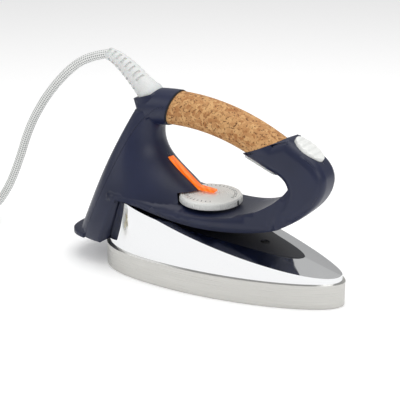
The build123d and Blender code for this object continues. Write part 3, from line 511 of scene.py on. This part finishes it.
# ---------------------------------------------------------------- mains cord
# Three cores under a braided polyester jacket 8.5 mm thick, white with grey threads that wind round it
# both ways.  It rises out of the boot, falls to the bench and is put away in a flat two-layer coil.
cord_thick = 0.0085
lead = [
    (-0.1245, 0, 0.1932), (-0.1495, 0, 0.1880), (-0.1780, 0, 0.1680), (-0.2070, 0.0005, 0.1370),
    (-0.2280, 0.0015, 0.1050), (-0.2420, 0.0020, 0.0720), (-0.2585, 0.0015, 0.0390),
    (-0.2805, 0.0010, 0.0115),
]
coil_low, coil_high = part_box("cord_coil")
coil_x, coil_y = (coil_low.x + coil_high.x) / 2, (coil_low.y + coil_high.y) / 2
turn_outer = (coil_high.x - coil_low.x) / 2 - cord_thick / 2
turns, points_a_turn = 5.5, 16
route = list(lead)
count = int(turns * points_a_turn)
for step in range(count + 1):
    turned_by = step / points_a_turn
    inward = min(turned_by, turns - turned_by)
    climbed = min(max((turned_by - turns / 2 + 0.25) / 0.5, 0), 1)
    radius = (turn_outer - cord_thick * inward) / cos(pi / points_a_turn) ** 0.5
    angle = pi / 2 + 2 * pi * turned_by
    route.append((coil_x + radius * cos(angle), coil_y + radius * sin(angle), cord_thick * (0.5 + climbed)))
plug_low, plug_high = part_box("plug_body")
plug_y, plug_z = (plug_low.y + plug_high.y) / 2, (plug_low.z + plug_high.z) / 2
route += [
    (coil_x + 0.012, plug_y, cord_thick * 1.5), (coil_x + 0.024, plug_y, plug_z),
    (plug_low.x + 0.002, plug_y, plug_z),
]

line = bpy.data.curves.new("cord_route", "CURVE")
line.dimensions = "3D"
spline = line.splines.new("NURBS")
spline.points.add(len(route) - 1)
for point, spot in zip(spline.points, route):
    point.co = (*spot, 1.0)
spline.order_u = 3
spline.use_endpoint_u = True
spline.resolution_u = 8
guide = bpy.data.objects.new("cord_route", line)
bpy.context.scene.collection.objects.link(guide)
traced = bpy.data.meshes.new_from_object(guide.evaluated_get(bpy.context.evaluated_depsgraph_get()))
cord_path = [tuple(vertex.co) for vertex in traced.vertices]
bpy.data.objects.remove(guide)

# the braid's pattern: six grey threads wind each way round the jacket, and repeat every 4.8 mm along it
threads_round, thread_lay = 6.0, 4.8
braid, tree, face, place = finish("braided_polyester", Roughness=0.8, Sheen_Weight=0.3)
unrolled = add(tree, "ShaderNodeUVMap", uv_map="along")
wound = add(tree, "ShaderNodeSeparateXYZ", {"Vector": unrolled.outputs["UV"]})
threads = add(tree, "ShaderNodeMath", {0: wound.outputs["Y"], 1: threads_round}, operation="MULTIPLY")
lengthwise = add(tree, "ShaderNodeMath", {0: wound.outputs["X"], 1: 1 / thread_lay}, operation="MULTIPLY")
waves = []
for way in ("ADD", "SUBTRACT"):
    slant = add(tree, "ShaderNodeMath", {0: lengthwise.outputs[0], 1: threads.outputs[0]}, operation=way)
    turn = add(tree, "ShaderNodeMath", {0: slant.outputs[0], 1: 2 * pi}, operation="MULTIPLY")
    waves.append(add(tree, "ShaderNodeMath", {0: turn.outputs[0]}, operation="SINE").outputs[0])
crossing = add(tree, "ShaderNodeMath", {0: waves[0], 1: waves[1]}, operation="MULTIPLY")
grey = add(tree, "ShaderNodeMapRange", {"Value": crossing.outputs[0], "From Min": 0.05, "From Max": 0.45})
mixed = add(
    tree, "ShaderNodeMix", {0: grey.outputs["Result"], 6: colour("#EDEEEC"), 7: colour("#868A89")},
    data_type="RGBA",
)
tree.links.new(mixed.outputs[2], face.inputs["Base Color"])
bump = add(tree, "ShaderNodeBump", {"Height": crossing.outputs[0], "Distance": 0.0002, "Strength": 0.5})
tree.links.new(bump.outputs["Normal"], face.inputs["Normal"])
jacket = tube("braided_cord", cord_path, lambda step, angle: cord_thick / 2, 24, braid, length_map=True)
taken(jacket, "iron", "cord", "cord_coil", "cord_tail")

# ---------------------------------------------------------------- plug
# A moulded-on mains plug in the boot's pale grey PVC, with nickel plated blades.
plug = clean_copy("plug_body", soft_pvc, soften=(0.6, 6))

# ---------------------------------------------------------------- floor, light and camera
# A white bench under a large softbox, with a lighter wall round it that the chrome picks up.
paper, tree, face, place = finish(
    "white_paper_sweep", Roughness=0.9, Base_Color=colour("#FDFDFD"), Emission_Color=colour("#FFFFFF"),
    Emission_Strength=0.14,
)
mesh = bpy.data.meshes.new("bench")
mesh.from_pydata([(-4, -4, 0), (4, -4, 0), (4, 4, 0), (-4, 4, 0)], [], [(0, 1, 2, 3)])
mesh.materials.append(paper)
bench = bpy.data.objects.new("bench", mesh)
bpy.context.scene.collection.objects.link(bench)


def softbox(name, spot, size, power, aim=(-0.02, 0, 0.07)):
    """A square area light at a spot, aimed at the iron."""
    light = bpy.data.lights.new(name, "AREA")
    light.size, light.energy = size, power
    lamp = bpy.data.objects.new(name, light)
    lamp.location = spot
    lamp.rotation_euler = (Vector(aim) - Vector(spot)).to_track_quat("-Z", "Y").to_euler()
    bpy.context.scene.collection.objects.link(lamp)


softbox("overhead_softbox", (0.1, 0.1, 1.3), 1.2, 9.0)
softbox("left_softbox", (-1.1, -0.9, 0.8), 0.9, 3.0)
softbox("front_softbox", (1.2, -0.7, 0.7), 0.7, 3.5)

room = bpy.data.worlds.new("room")
room.use_nodes = True
bpy.context.scene.world = room
tree = room.node_tree
seen = add(tree, "ShaderNodeSeparateXYZ", {"Vector": add(tree, "ShaderNodeTexCoord").outputs["Generated"]})
wall = add(tree, "ShaderNodeValToRGB", {"Fac": seen.outputs["Z"]})
level, above = wall.color_ramp.elements
level.position, level.color = 0.0, (0.55, 0.55, 0.56, 1)
above.position, above.color = 0.35, (1.0, 1.0, 1.0, 1)
tree.links.new(wall.outputs["Color"], tree.nodes["Background"].inputs["Color"])
tree.nodes["Background"].inputs["Strength"].default_value = 0.58

azimuth, elevation, distance = radians(32.3), radians(19.6), 0.9965
target = Vector((-0.0261, 0.0, 0.0694))
outward = Vector((sin(azimuth) * cos(elevation), -cos(azimuth) * cos(elevation), sin(elevation)))
lens = bpy.data.cameras.new("camera")
lens.lens, lens.sensor_width, lens.clip_start = 98.8, 36.0, 0.01
camera = bpy.data.objects.new("camera", lens)
camera.location = target + outward * distance
camera.rotation_euler = (-outward).to_track_quat("-Z", "Y").to_euler()
bpy.context.scene.collection.objects.link(camera)
bpy.context.scene.camera = camera
# the plain transform keeps the bench white and the navy as dark as its own colour
bpy.context.scene.view_settings.view_transform = "Standard"
